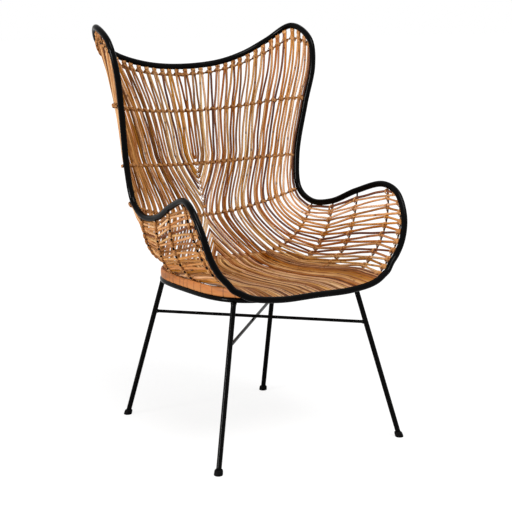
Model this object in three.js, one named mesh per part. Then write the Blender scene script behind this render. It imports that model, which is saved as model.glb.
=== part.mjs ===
import * as THREE from "three";

// Woven cane wing chair on a four-legged metal base. Millimetres, +Z up, sitter looks along -Y,
// +X is the sitter's left, origin on the floor under the middle of the bounding box.

// Base: ring under the seat, bent cane band on it, legs, foot caps and crossed stretchers
const RING_TUBE_DIA = 14;
const RING_HEIGHT = 422;
const RING_HALF_WIDTH = 229;
const RING_LENGTH = 456;
const RING_SETBACK = 43;
const RING_SQUARENESS = 3.4;
const BAND_THICKNESS = 9;
const BAND_HEIGHT = 24;
const LEG_DIA = 14;
const FRONT_FOOT_HALF_WIDTH = 291;
const FRONT_FOOT_DEPTH = -334;
const REAR_FOOT_HALF_WIDTH = 233;
const REAR_FOOT_DEPTH = 250;
const FRONT_LEG_INSET = 37;
const REAR_LEG_INSET = 43;
const FOOT_CAP_DIA = 23;
const FOOT_CAP_HEIGHT = 15;
const STRETCHER_DIA = 8.6;
const STRETCHER_DROP = 108;

// Outer hoop: one bent tube that edges the back, the wings, the arms and the seat front.
// Rises are measured from the base ring.
const HOOP_TUBE_DIA = 17;
const TOP_RISE = 557;
const TOP_DEPTH = 341;
const TIP_RISE = 673;
const TIP_DEPTH = 243;
const WING_HALF_WIDTH = 326;
const WING_FRONT_DEPTH = 140;
const WAIST_HALF_WIDTH = 276;
const WAIST_RISE = 180;
const WAIST_DEPTH = 70;
const ARM_HALF_WIDTH = 321;
const ARM_RISE = 257;
const ARM_CREST_DEPTH = -212;
const FRONT_RISE = 8;
const FRONT_DEPTH = -341;
const FRONT_FLAT_HALF_WIDTH = 120;

// Woven shell: canes in pairs from the top edge to the front edge, lashed to cross rods on the outside
const CANE_DIA = 6.8;
const PAIR_WIDTH = 13;
const PAIRS_WIDTH = 238;
const CLOSED_PAIRS = 4;
const SHELL_LENGTH = 1080;
const TOP_ROW_INSET = 18.5;
const FRONT_ROW_INSET = 11;
const ROD_DIA = 4.6;
const BACK_SEAT_RISE = 27;
const SEAT_DIP_RISE = 2;
const FIT_GAP = 0.3;
const MITRE_RISE = 0.6;
const MITRE_REACH = 0.03;
const BAND_SEATING = 0.95;

const PAIRS_PER_SIDE = Math.floor(PAIRS_WIDTH / PAIR_WIDTH);
const HOOP_R = HOOP_TUBE_DIA / 2;
const CANE_R = CANE_DIA / 2;
const ROD_R = ROD_DIA / 2;
const RING_R = RING_TUBE_DIA / 2;
const TOP_HEIGHT = RING_HEIGHT + TOP_RISE;
const TIP_HEIGHT = RING_HEIGHT + TIP_RISE;
const WAIST_HEIGHT = RING_HEIGHT + WAIST_RISE;
const ARM_HEIGHT = RING_HEIGHT + ARM_RISE;
const FRONT_HEIGHT = RING_HEIGHT + FRONT_RISE;
const STRETCHER_HEIGHT = RING_HEIGHT - STRETCHER_DROP;
const RING_HALF_DEPTH = RING_LENGTH / 2;
const RING_CENTRE_DEPTH = FRONT_DEPTH + RING_SETBACK + RING_HALF_DEPTH;
const v3 = (x, y, z) => new THREE.Vector3(x, y, z);

// Half outline of the hoop, from the middle of the top edge to the middle of the seat front
const HALF_HOOP = [
  v3(0, TOP_DEPTH, TOP_HEIGHT),
  v3(120, TOP_DEPTH - 11, TOP_HEIGHT + 10),
  v3(212, TOP_DEPTH - 15, TOP_HEIGHT + 36),
  v3(WING_HALF_WIDTH - 49, TIP_DEPTH + 65, TIP_HEIGHT - 44),
  v3(WING_HALF_WIDTH - 7, TIP_DEPTH, TIP_HEIGHT),
  v3(WING_HALF_WIDTH, TIP_DEPTH - 86, TIP_HEIGHT - 37),
  v3(WING_HALF_WIDTH - 8, WING_FRONT_DEPTH - 10, TIP_HEIGHT - 110),
  v3(WAIST_HALF_WIDTH + 23, WING_FRONT_DEPTH - 1, WAIST_HEIGHT + 271),
  v3(WAIST_HALF_WIDTH + 4, WING_FRONT_DEPTH + 10, WAIST_HEIGHT + 125),
  v3(WAIST_HALF_WIDTH - 3, WAIST_DEPTH + 58, WAIST_HEIGHT + 32),
  v3(WAIST_HALF_WIDTH, WAIST_DEPTH, WAIST_HEIGHT),
  v3(WAIST_HALF_WIDTH + 7, WAIST_DEPTH - 90, WAIST_HEIGHT + 9),
  v3(ARM_HALF_WIDTH - 23, ARM_CREST_DEPTH + 100, ARM_HEIGHT - 29),
  v3(ARM_HALF_WIDTH - 7, ARM_CREST_DEPTH, ARM_HEIGHT),
  v3(ARM_HALF_WIDTH, ARM_CREST_DEPTH - 50, ARM_HEIGHT - 18),
  v3(ARM_HALF_WIDTH - 6, FRONT_DEPTH + 39, ARM_HEIGHT - 76),
  v3(ARM_HALF_WIDTH - 23, FRONT_DEPTH + 25, FRONT_HEIGHT + 110),
  v3(ARM_HALF_WIDTH - 59, FRONT_DEPTH + 19, FRONT_HEIGHT + 57),
  v3(FRONT_FLAT_HALF_WIDTH + 85, FRONT_DEPTH + 6, FRONT_HEIGHT + 16),
  v3(FRONT_FLAT_HALF_WIDTH, FRONT_DEPTH, FRONT_HEIGHT + 1),
  v3(0, FRONT_DEPTH, FRONT_HEIGHT),
];
const mirror = (p) => v3(-p.x, p.y, p.z);
const FRONT_MARK = HALF_HOOP.length - 1;
const TIP_MARK = 5.2;
const CREST_MARK = 13.6;
const otherHalf = HALF_HOOP.slice(1, -1).reverse().map(mirror);
const hoop = new THREE.CatmullRomCurve3([...HALF_HOOP, ...otherHalf], true, "centripetal");
const onHoop = (mark) => hoop.getPoint(mark / hoop.points.length);

// Cross lines down the shell, each from the middle of the back or seat to the hoop: depth and rise at
// the middle, then reach, drop and set-back of the flat part, the mark on the hoop and the lean there
function crossAt(u, depth, rise, reach, drop, back, mark, lean) {
  return { u, depth, height: RING_HEIGHT + rise, reach, drop, back, mark, lean };
}
const STATIONS = [
  crossAt(0, TOP_DEPTH, TOP_RISE, 160, -4, 0, TIP_MARK, [42, 270, 0]),
  crossAt(0.14, 298, 433, 170, 0, 0, 6.85, [0, 121, -8]),
  crossAt(0.3, 253, 285, 150, 0, 0, 8, [0, 65, -3]),
  crossAt(0.46, 200, 144, 140, 0, 0, 9, [-1, 57, -22]),
  crossAt(0.58, 118, BACK_SEAT_RISE, 190, 13, 12, 10, [-26, 16, -122]),
  crossAt(0.68, 10, SEAT_DIP_RISE + 4, 215, 13, 8, 11, [-15, 15, -161]),
  crossAt(0.79, -105, SEAT_DIP_RISE, 215, 12, 0, 12, [-13, 4, -200]),
  crossAt(0.92, -255, FRONT_RISE + 10, 200, 3, 0, 13.1, [-6, -45, -205]),
  crossAt(1, FRONT_DEPTH, FRONT_RISE, 330, 3, 0, CREST_MARK, [6, -90, -115]),
];
const TOP_ROW = (HOOP_R + TOP_ROW_INSET) / SHELL_LENGTH;
const FRONT_ROW = 1 - (HOOP_R + FRONT_ROW_INSET) / SHELL_LENGTH;
const ROWS = [TOP_ROW, 0.14, 0.3, 0.46, 0.58, 0.68, 0.79, 0.92, FRONT_ROW];
const BETWEEN_ROWS = [0.08, 0.22, 0.38, 0.5, 0.54, 0.63, 0.735, 0.855, 0.95];
const CLOSING = [0.27, 0.45];
const OPENING = [0.47, 0.59];

// Smooth curve through one value of the stations
function station(u, pick) {
  const last = STATIONS.length - 1;
  let i = 0;
  while (i < last - 1 && u > STATIONS[i + 1].u) i += 1;
  const slope = (k) => {
    const a = STATIONS[Math.max(k - 1, 0)];
    const b = STATIONS[Math.min(k + 1, last)];
    return (pick(b) - pick(a)) / (b.u - a.u);
  };
  const a = STATIONS[i];
  const b = STATIONS[i + 1];
  const w = b.u - a.u;
  const t = (u - a.u) / w;
  const t2 = t * t;
  const t3 = t2 * t;
  const ends = (2 * t3 - 3 * t2 + 1) * pick(a) + (3 * t2 - 2 * t3) * pick(b);
  return ends + w * ((t3 - 2 * t2 + t) * slope(i) + (t3 - t2) * slope(i + 1));
}

// Places along the hoop spaced by length between two marks
function evenMarks(from, to) {
  const steps = 120;
  const marks = [from];
  const lengths = [0];
  for (let i = 1; i <= steps; i += 1) {
    const mark = from + ((to - from) * i) / steps;
    lengths.push(lengths[i - 1] + onHoop(mark).distanceTo(onHoop(marks[i - 1])));
    marks.push(mark);
  }
  return (v) => {
    const want = THREE.MathUtils.clamp(v, 0, 1) * lengths[steps];
    let i = 0;
    while (i < steps - 1 && lengths[i + 1] < want) i += 1;
    const part = (want - lengths[i]) / (lengths[i + 1] - lengths[i]);
    return onHoop(marks[i] + (marks[i + 1] - marks[i]) * part);
  };
}
const topEdge = evenMarks(0, TIP_MARK);
const frontEdge = evenMarks(FRONT_MARK, CREST_MARK);

// One cross line of the shell: a curve from the middle to the hoop with a flat part and a lean
const crossLines = new Map();
function crossLine(u) {
  if (crossLines.has(u)) return crossLines.get(u);
  const middle = v3(0, station(u, (s) => s.depth), station(u, (s) => s.height));
  const edge = onHoop(station(u, (s) => s.mark));
  const reach = station(u, (s) => s.reach);
  const flat = middle.clone().add(v3(reach, station(u, (s) => s.back), -station(u, (s) => s.drop)));
  const lean = [0, 1, 2].map((i) => station(u, (s) => s.lean[i]));
  const turn = edge.clone().add(v3(...lean));
  const line = new THREE.CubicBezierCurve3(middle, flat, turn, edge);
  line.arcLengthDivisions = 32;
  crossLines.set(u, line);
  return line;
}

// Point of the shell on the sitter's left: u runs from the top edge to the front edge, v from middle to hoop
function shell(u, v) {
  const p = crossLine(u).getPointAt(v);
  const top = Math.max(0, 1 - u / 0.2) ** 2;
  const front = Math.max(0, 1 - (1 - u) / 0.25) ** 2;
  if (top > 0) p.addScaledVector(topEdge(v).sub(crossLine(0).getPointAt(v)), top);
  if (front > 0) p.addScaledVector(frontEdge(v).sub(crossLine(1).getPointAt(v)), front);
  return p;
}

// Direction square to the shell, towards the sitter
function inward(u, v) {
  const d = 0.004;
  const u0 = Math.max(u - d, 0);
  const u1 = Math.min(u + d, 1);
  const v0 = Math.max(v - d, 0);
  const v1 = Math.min(v + d, 1);
  const along = shell(u1, v).sub(shell(u0, v));
  const across = shell(u, v1).sub(shell(u, v0));
  return along.cross(across).normalize();
}

// Share of the closed pairs that have run out at the middle of the back
function pinch(u) {
  const ramp = ([from, to]) => {
    const t = THREE.MathUtils.clamp((u - from) / (to - from), 0, 1);
    return 0.5 * t + 0.5 * t * t * (3 - 2 * t);
  };
  return CLOSED_PAIRS * (ramp(CLOSING) - ramp(OPENING));
}
const pairPlace = (k, u) => (k + 0.5 - pinch(u)) / (PAIRS_PER_SIDE + 0.5 - pinch(u));

// Closed solid from a list of rings of points
function solidFromRings(rings, joined) {
  const n = rings[0].length;
  const positions = rings.flat().flatMap((p) => [p.x, p.y, p.z]);
  const index = [];
  const quads = joined ? rings.length : rings.length - 1;
  for (let i = 0; i < quads; i += 1) {
    const a = i * n;
    const b = ((i + 1) % rings.length) * n;
    for (let k = 0; k < n; k += 1) {
      const m = (k + 1) % n;
      index.push(a + k, a + m, b + m, a + k, b + m, b + k);
    }
  }
  if (!joined) {
    const end = (rings.length - 1) * n;
    for (let k = 1; k < n - 1; k += 1) {
      index.push(0, k + 1, k);
      index.push(end, end + k, end + k + 1);
    }
  }
  const geometry = new THREE.BufferGeometry();
  geometry.setAttribute("position", new THREE.Float32BufferAttribute(positions, 3));
  geometry.setIndex(index);
  geometry.computeVertexNormals();
  return geometry;
}

// Ring of points round a centre, in the plane of two directions
function circle(centre, a, b, radius, sides) {
  const ring = [];
  for (let k = 0; k < sides; k += 1) {
    const t = (2 * Math.PI * (k + 0.5)) / sides;
    const p = centre.clone().addScaledVector(a, radius * Math.cos(t));
    ring.push(p.addScaledVector(b, radius * Math.sin(t)));
  }
  return ring;
}

const HOOP_STEPS = 110;
const hoopStops = hoop.getSpacedPoints(HOOP_STEPS);
const hoopLines = hoopStops.slice(1).map((p, i) => new THREE.Line3(hoopStops[i], p));
const nearest = v3(0, 0, 0);

// Distance from a point to the middle line of the hoop
function hoopDistance(p) {
  return Math.min(...hoopLines.map((line) => line.closestPointToPoint(p, true, nearest).distanceTo(p)));
}

// Six-sided outline of two canes lying side by side at one place of the shell
function pairRing(k, u) {
  const d = 0.004;
  const place = (w) => shell(w, Math.max(pairPlace(k, w), 0));
  const centre = place(u);
  const along = place(Math.min(u + d, 1)).sub(place(Math.max(u - d, 0))).normalize();
  const up = inward(u, Math.max(pairPlace(k, u), 0));
  up.addScaledVector(along, -up.dot(along)).normalize();
  const side = up.clone().cross(along);
  const w = PAIR_WIDTH / 2;
  const c = w - CANE_R;
  const outline = [[w, 0], [c, CANE_R], [-c, CANE_R], [-w, 0], [-c, -CANE_R], [c, -CANE_R]];
  const ring = outline.map(([a, b]) => centre.clone().addScaledVector(side, a).addScaledVector(up, b));
  return { centre, along, ring };
}
const clearOfHoop = (ring) => Math.min(...ring.map(hoopDistance)) >= HOOP_R + FIT_GAP;

// First place along a pair that clears the hoop, looking from one end
function hoopEnd(k, from, step) {
  let u = from;
  while (!clearOfHoop(pairRing(k, u).ring)) u += step;
  for (let part = step / 2; Math.abs(part) > 0.0001; part /= 2) {
    if (clearOfHoop(pairRing(k, u - part).ring)) u -= part;
  }
  return u;
}
const LEVELS = [...ROWS, ...BETWEEN_ROWS].sort((a, b) => a - b);

// Levels between two ends, without any that sit close to an end
function levelsBetween(from, to) {
  return [from, ...LEVELS.filter((u) => u > from + 0.008 && u < to - 0.008), to];
}

// A pair that runs the whole way from the top edge to the front edge
function longPair(k) {
  const levels = levelsBetween(hoopEnd(k, 0, 0.002), hoopEnd(k, 1, -0.002));
  return levels.map((u) => pairRing(k, u).ring);
}

// A pair that meets its twin at the middle of the back, as one bent piece across the middle
function closedPair(k, step) {
  const edge = step > 0 ? hoopEnd(k, 1, -0.002) : hoopEnd(k, 0, 0.002);
  let u = (CLOSING[1] + OPENING[0]) / 2;
  while (Math.min(...pairRing(k, u).ring.map((p) => p.x)) < 1.5 || pairPlace(k, u) <= 0) u += step * 0.002;
  const levels = step > 0 ? levelsBetween(u, edge).reverse() : levelsBetween(edge, u);
  const half = levels.map((w) => pairRing(k, w));
  const last = half[half.length - 1];
  let tip = u;
  while (pairPlace(k, tip) > 0) tip -= step * 0.001;
  const forward = shell(tip, 0).sub(last.centre).normalize();
  const mitre = last.ring.map((p) => p.clone().addScaledVector(forward, -p.x / forward.x));
  const rings = half.map((h) => h.ring);
  const twins = rings.map((ring) => ring.map(mirror)).reverse();
  mitre.forEach((p) => p.setX(0));
  const all = [...rings, mitre, ...twins];
  return step > 0 ? all.map((ring) => [...ring].reverse()) : all;
}

// A cross rod: laid across the outside of the canes from hoop to hoop, a little further out at the middle,
// where pairs are mitred
function crossRod(u) {
  const out = (v) => CANE_R + FIT_GAP + ROD_R + (v < MITRE_REACH ? MITRE_RISE : 0);
  const point = (v) => shell(u, v).addScaledVector(inward(u, v), -out(v));
  let end = 1;
  while (hoopDistance(point(end)) < HOOP_R + FIT_GAP + ROD_R) end -= 0.002;
  const pairs = Array.from({ length: PAIRS_PER_SIDE }, (_, k) => pairPlace(k, u));
  const places = [...pairs.filter((v) => v > 0 && v < end - 0.01), end];
  const left = places.map((v) => ({ p: point(v), up: inward(u, v) }));
  const right = left.map(({ p, up }) => ({ p: mirror(p), up: mirror(up) })).reverse();
  const line = [...right, ...left];
  return line.map(({ p, up }, i) => {
    const next = line[Math.min(i + 1, line.length - 1)].p;
    const along = next.clone().sub(line[Math.max(i - 1, 0)].p).normalize();
    const square = up.clone().addScaledVector(along, -up.dot(along)).normalize();
    return circle(p, square, along.clone().cross(square), ROD_R, 6);
  });
}

// Tube along the left half of the hoop, its ends half a fit gap from the middle plane
function halfHoopRings() {
  const frames = hoop.computeFrenetFrames(HOOP_STEPS, true);
  const rings = [];
  for (let i = 0; i <= HOOP_STEPS / 2; i += 1) {
    rings.push(circle(hoopStops[i], frames.normals[i], frames.binormals[i], HOOP_R, 10));
  }
  [rings[0], rings[rings.length - 1]].forEach((ring) => ring.forEach((p) => p.setX(FIT_GAP / 2)));
  return rings;
}

// Plan of the base ring: a rounded square, by angle
function ringPlan(angle) {
  const c = Math.cos(angle);
  const s = Math.sin(angle);
  const e = 2 / RING_SQUARENESS;
  const x = RING_HALF_WIDTH * Math.sign(c) * Math.abs(c) ** e;
  const y = RING_CENTRE_DEPTH + RING_HALF_DEPTH * Math.sign(s) * Math.abs(s) ** e;
  return v3(x, y, 0);
}
const RING_STEPS = 80;
const ringSteps = Array.from({ length: RING_STEPS }, (_, i) => i);
const ringPoint = (i) => ringPlan((2 * Math.PI * (i + 0.5)) / RING_STEPS);

// Outward direction of the plan at one step of the ring
function ringOut(i) {
  const along = ringPoint(i + 1).sub(ringPoint(i - 1)).normalize();
  return v3(along.y, -along.x, 0);
}
const UP = v3(0, 0, 1);

function ringRings() {
  return ringSteps.map((i) => circle(ringPoint(i).setZ(RING_HEIGHT), UP, ringOut(i), RING_R, 8));
}

// Height of the underside of the canes and rods over a place in plan
function undersideHeight(x, y) {
  let best = { miss: Infinity, u: 0.7, v: 0.5 };
  for (let i = 0; i <= 28; i += 1) {
    for (let j = 0; j <= 28; j += 1) {
      const u = 0.5 + (0.5 * i) / 28;
      const v = j / 28;
      const p = shell(u, v);
      const miss = Math.hypot(p.x - Math.abs(x), p.y - y);
      if (miss < best.miss && p.z < WAIST_HEIGHT - 60) best = { miss, u, v };
    }
  }
  let { u, v } = best;
  for (let step = 0.009; step > 0.0004; step *= 0.5) {
    const tries = [[0, 0], [step, 0], [-step, 0], [0, step], [0, -step]];
    const scored = tries.map(([a, b]) => {
      const uu = THREE.MathUtils.clamp(u + a, 0, 1);
      const vv = THREE.MathUtils.clamp(v + b, 0, 1);
      const p = shell(uu, vv);
      return { uu, vv, miss: Math.hypot(p.x - Math.abs(x), p.y - y) };
    });
    scored.sort((a, b) => a.miss - b.miss);
    u = scored[0].uu;
    v = scored[0].vv;
  }
  const n = inward(u, v);
  return shell(u, v).z - (CANE_R + FIT_GAP + ROD_DIA - BAND_SEATING) / Math.max(n.z, 0.25);
}

// Inner and outer edge of the bent band at one step of the ring
function bandEdges(i) {
  const out = ringOut(i).multiplyScalar(BAND_THICKNESS / 2);
  return [ringPoint(i).sub(out), ringPoint(i).add(out)];
}

// Bent band between the ring and the rods, its upper edge stopped by the rods at and between the steps
function bandRings() {
  const bottom = RING_HEIGHT + RING_R + FIT_GAP;
  const lidAt = (i) => Math.min(...bandEdges(i).map((p) => undersideHeight(p.x, p.y)));
  const lids = ringSteps.map(lidAt);
  const between = ringSteps.map((i) => lidAt(i + 0.5));
  return ringSteps.map((i) => {
    const lid = Math.min(lids[i], between[i], between[(i + RING_STEPS - 1) % RING_STEPS]);
    const top = Math.max(bottom + 1.5, Math.min(bottom + BAND_HEIGHT, lid));
    const [inner, outer] = bandEdges(i);
    return [outer.clone().setZ(bottom), inner.clone().setZ(bottom), inner.setZ(top), outer.setZ(top)];
  });
}

// Place on the ring plan at a given half width, front (-1) or rear (+1)
function ringDepthAt(x, end) {
  const rest = 1 - (Math.abs(x) / RING_HALF_WIDTH) ** RING_SQUARENESS;
  return RING_CENTRE_DEPTH + end * RING_HALF_DEPTH * rest ** (1 / RING_SQUARENESS);
}
const LEG_TOP = RING_HEIGHT - RING_R - FIT_GAP;
const FRONT_FOOT = v3(FRONT_FOOT_HALF_WIDTH, FRONT_FOOT_DEPTH, 0);
const REAR_FOOT = v3(REAR_FOOT_HALF_WIDTH, REAR_FOOT_DEPTH, 0);
const FRONT_LEG_TOP = v3(RING_HALF_WIDTH - FRONT_LEG_INSET, 0, LEG_TOP);
const REAR_LEG_TOP = v3(RING_HALF_WIDTH - REAR_LEG_INSET, 0, LEG_TOP);
FRONT_LEG_TOP.y = ringDepthAt(FRONT_LEG_TOP.x, -1);
REAR_LEG_TOP.y = ringDepthAt(REAR_LEG_TOP.x, 1);
const LEGS = [
  { name: "front_left", foot: FRONT_FOOT, top: FRONT_LEG_TOP },
  { name: "front_right", foot: mirror(FRONT_FOOT), top: mirror(FRONT_LEG_TOP) },
  { name: "rear_left", foot: REAR_FOOT, top: REAR_LEG_TOP },
  { name: "rear_right", foot: mirror(REAR_FOOT), top: mirror(REAR_LEG_TOP) },
];

// Middle of a leg at one height
const legPoint = (leg, z) => leg.foot.clone().lerp(leg.top, z / LEG_TOP);
const X = v3(1, 0, 0);
const Y = v3(0, 1, 0);
const level = (p, radius, sides) => circle(p, X, Y, radius, sides);

function legRings(leg) {
  return [FOOT_CAP_HEIGHT + FIT_GAP, LEG_TOP].map((z) => level(legPoint(leg, z), LEG_DIA / 2, 12));
}

function footRings(leg) {
  const foot = legPoint(leg, 0);
  const r = FOOT_CAP_DIA / 2;
  const steps = [[0, r - 1], [1.5, r], [FOOT_CAP_HEIGHT - 2, r], [FOOT_CAP_HEIGHT, r - 2]];
  return steps.map(([z, radius]) => level(foot.clone().setZ(z), radius, 16));
}

// Straight rod between two legs, its ends stopped at the leg walls
function stretcherRings(a, b, z) {
  const from = legPoint(a, z);
  const to = legPoint(b, z);
  const along = to.clone().sub(from).normalize();
  const side = along.clone().cross(UP).normalize();
  const stop = (leg) => {
    const drift = legPoint(leg, z + 1).sub(legPoint(leg, z)).dot(along);
    return LEG_DIA / 2 + FIT_GAP + (STRETCHER_DIA / 2) * Math.abs(drift);
  };
  const ends = [from.addScaledVector(along, stop(a)), to.addScaledVector(along, -stop(b))];
  return ends.map((p) => circle(p, side, along.clone().cross(side), STRETCHER_DIA / 2, 10));
}

const FINISHES = {
  metal: { color: 0x151414, roughness: 0.42, metalness: 0.1 },
  cane: { color: 0xa77f5f, roughness: 0.55, metalness: 0 },
  band: { color: 0xb0734a, roughness: 0.5, metalness: 0 },
  rubber: { color: 0x0d0d0d, roughness: 0.75, metalness: 0 },
};
const group = new THREE.Group();

function addPiece(name, rings, finish, joined = false) {
  const geometry = solidFromRings(rings, joined);
  const mesh = new THREE.Mesh(geometry, new THREE.MeshStandardMaterial(FINISHES[finish]));
  mesh.name = name;
  group.add(mesh);
}

const leftHoop = halfHoopRings();
addPiece("outer_hoop_left", leftHoop, "metal");
addPiece("outer_hoop_right", leftHoop.map((ring) => ring.map(mirror)).reverse(), "metal");
addPiece("base_ring", ringRings(), "metal", true);
addPiece("seat_band", bandRings(), "band", true);
for (const leg of LEGS) {
  addPiece(`leg_${leg.name}`, legRings(leg), "metal");
  addPiece(`foot_${leg.name}`, footRings(leg), "rubber");
}
const CROSSING = (STRETCHER_DIA + FIT_GAP) / 2;
addPiece("stretcher_upper", stretcherRings(LEGS[3], LEGS[0], STRETCHER_HEIGHT + CROSSING), "metal");
addPiece("stretcher_lower", stretcherRings(LEGS[1], LEGS[2], STRETCHER_HEIGHT - CROSSING), "metal");
for (let k = CLOSED_PAIRS; k < PAIRS_PER_SIDE; k += 1) {
  const left = longPair(k);
  const right = left.map((ring) => ring.map(mirror)).reverse();
  const number = String(k - CLOSED_PAIRS + 1).padStart(2, "0");
  addPiece(`cane_left_${number}`, left, "cane");
  addPiece(`cane_right_${number}`, right, "cane");
}
for (let k = 0; k < CLOSED_PAIRS; k += 1) {
  addPiece(`cane_back_vee_${k + 1}`, closedPair(k, -1), "cane");
  addPiece(`cane_seat_vee_${k + 1}`, closedPair(k, 1), "cane");
}
ROWS.forEach((u, i) => addPiece(`cross_rod_${i + 1}`, crossRod(u), "metal"));

// Set the finished chair over the origin, feet on the floor
const box = new THREE.Box3().setFromObject(group);
const middle = box.getCenter(v3(0, 0, 0));
group.children.forEach((mesh) => mesh.geometry.translate(-middle.x, -middle.y, -box.min.z));

export default group;
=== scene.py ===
import math

import bpy
import numpy as np
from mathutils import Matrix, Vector


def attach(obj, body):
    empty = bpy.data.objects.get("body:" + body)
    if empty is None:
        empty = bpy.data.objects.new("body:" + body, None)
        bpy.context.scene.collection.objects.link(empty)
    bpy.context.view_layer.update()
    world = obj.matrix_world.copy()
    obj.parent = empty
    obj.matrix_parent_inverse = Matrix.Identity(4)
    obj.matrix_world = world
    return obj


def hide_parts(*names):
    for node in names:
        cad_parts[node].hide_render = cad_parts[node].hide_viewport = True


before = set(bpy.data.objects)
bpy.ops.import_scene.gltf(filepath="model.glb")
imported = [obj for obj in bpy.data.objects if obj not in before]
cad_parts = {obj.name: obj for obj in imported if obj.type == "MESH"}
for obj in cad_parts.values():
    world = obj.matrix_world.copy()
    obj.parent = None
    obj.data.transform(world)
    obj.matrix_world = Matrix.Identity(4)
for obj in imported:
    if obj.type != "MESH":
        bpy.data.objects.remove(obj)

bl_info = {
    "name": "Cane Wing Chair",
    "version": (1, 0, 0),
    "blender": (4, 5, 0),
    "location": "View3D > Sidebar > Cane Chair",
    "description": "Builds a woven cane wing chair on a black tube frame",
    "category": "Add Mesh",
}

# Half of the outer hoop, from the middle of the top edge round to the middle of the seat front
HALF_HOOP = 0.001 * np.array([
    (0, 341, 979), (120, 330, 989), (212, 326, 1015), (277, 308, 1051), (319, 243, 1095), (326, 157, 1058),
    (318, 130, 985), (299, 139, 873), (280, 150, 727), (273, 128, 634), (276, 70, 602), (283, -20, 611),
    (298, -112, 650), (314, -212, 679), (321, -262, 661), (315, -302, 603), (298, -316, 540),
    (262, -322, 487), (205, -335, 446), (120, -341, 431), (0, -341, 430)], float)
FRONT_MARK = len(HALF_HOOP) - 1
FULL_HOOP = np.concatenate([HALF_HOOP, HALF_HOOP[FRONT_MARK - 1:0:-1] * (-1, 1, 1)])

# Marks of the wing's tip, the arm's crest and the front corner, and a point in the midst of the hoop
TIP_MARK, CREST_MARK, CORNER_MARK = 5.2, 13.6, 17.25
MIDST = (0, 0, 0.70)

# Lines across the shell: how far down it, depth, rise, reach, drop, set back, hoop mark and the lean
# in three directions; all but the first and the mark in millimetres
STATIONS = np.array([
    (0, 341, 557, 160, -4, 0, 5.2, 42, 270, 0), (0.14, 298, 433, 170, 0, 0, 6.85, 0, 121, -8),
    (0.3, 253, 285, 150, 0, 0, 8, 0, 65, -3), (0.46, 200, 144, 140, 0, 0, 9, -1, 57, -22),
    (0.58, 118, 27, 190, 13, 12, 10, -26, 16, -122), (0.68, 10, 6, 215, 13, 8, 11, -15, 15, -161),
    (0.79, -105, 6, 215, 12, 0, 12, -13, 4, -200), (0.92, -255, 14, 200, 3, 0, 13.1, -6, -45, -205),
    (1, -341, 8, 330, 3, 0, 13.6, 6, -90, -115)], float)
STATIONS[:, [1, 2, 3, 4, 5, 7, 8, 9]] *= 0.001

# The shell's length and the shares of it that ease on to the hoop
SHELL_LENGTH, TOP_EASE, FRONT_EASE = 1.08, 0.2, 0.25

# The base ring, and the legs: place of the foot, place across and end at which they meet the ring
RING_HEIGHT, RING_HALF_WIDTH, RING_HALF_DEPTH, RING_MIDDLE = 0.422, 0.229, 0.228, -0.070
RING_SQUARENESS = 3.4
LEGS = {
    "front_left": ((0.291, -0.334), (0.192, -1)), "front_right": ((-0.291, -0.334), (-0.192, -1)),
    "rear_left": ((0.233, 0.250), (0.186, 1)), "rear_right": ((-0.233, 0.250), (-0.186, 1))}
SIDES = {"left": 1, "right": -1}

# Pairs a side, those that close in the V, where they close and open, and how unevenly pairs lie
PAIRS, CLOSED_PAIRS = 18, 4
CLOSING, OPENING = (0.27, 0.45), (0.47, 0.59)
UNEVEN, UNEVEN_WAVES = 0.04, (2.4, 5.1)

# Cross rods down the shell, those at which a cane lies with its other neighbour, the last cane's share
ROWS = (0.025, 0.14, 0.3, 0.46, 0.58, 0.68, 0.79, 0.92, 0.98194)
SWAPPED_ROWS = (1, 3, 5, 7)
LAST_SWAP = 0.3

# The dense seat, the canes that fill it beside the middle and between pairs, and how straight canes lie
SEAT_PAIRS, SEAT_START, SEAT_FULL = 8, ROWS[4], ROWS[5]
SEAT_CANES, SEAT_THINNING = 6, 0.34
MIDDLE_FILLERS, FILLERS = 2, 4
SEAT_STRAIGHT, ARM_STRAIGHT, ARM_CANES = 0.35, 0.85, (2 * SEAT_PAIRS - 6, 2 * SEAT_PAIRS + 2)

# Most reach of canes and lashings across, end inside the hoop, gap to a rod, span of grain, steps
EDGE, LASH_EDGE = 0.985, 0.98
END_INSIDE, ROD_GAP, GRAIN_SPAN = 0.002, 0.0004, 40
LONG_STEPS, SHORT_STEPS, FILLER_STEPS, END_STEPS, END_LEAST = 190, 90, 70, 1.2, 0.04

# A cane's own size: mean and spread, taper, limits; waves of its straying, how it is held near a rod,
# and the share of the straying that goes inward
OWN_SIZE, TAPER, SIZE_LIMITS = (0.98, 0.07), 0.05, (0.82, 1.07)
STRAY_WAVES, HELD_SPAN, HELD, STRAY_INWARD = (18, 34, 62), 0.04, 0.25, 0.6

# Where the V's canes meet the middle is looked for here; how far past a rod filling canes start
BACK_VEE_SPAN, SEAT_VEE_SPAN, MITRE_GAP = (0.2, 0.47), (0.465, 0.64), 0.0002
FILLER_PAST, FIRST_FILLER_LATE = (0.004, 0.012), 0.02

# The hoop's jog at a front corner
JOG_DEPTH, JOG_WIDTH, JOG_OUT, JOG_IN = 0.0024, 0.013, 0.012, -0.016

# Weld beads on the legs and stretchers, and the stretchers' coat
LEG_BEAD, LEG_BEAD_WIDTH, LEG_BEAD_DROP = 0.0012, 0.0028, 0.0085
ROD_BEAD, ROD_BEAD_WIDTH, COAT = 0.0014, 0.0026, 0.00015

# The foot cap: its wall as inset and height, its shoulder's top as a share of the leg
FOOT_ROUND, FOOT_WALL = 0.0022, ((0, 0.005), (0.0002, 0.0075), (0.0004, 0.010))
SHOULDER_INSET, SHOULDER_HEIGHT, SHOULDER_TOP = 0.0005, 0.0105, 0.52

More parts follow.
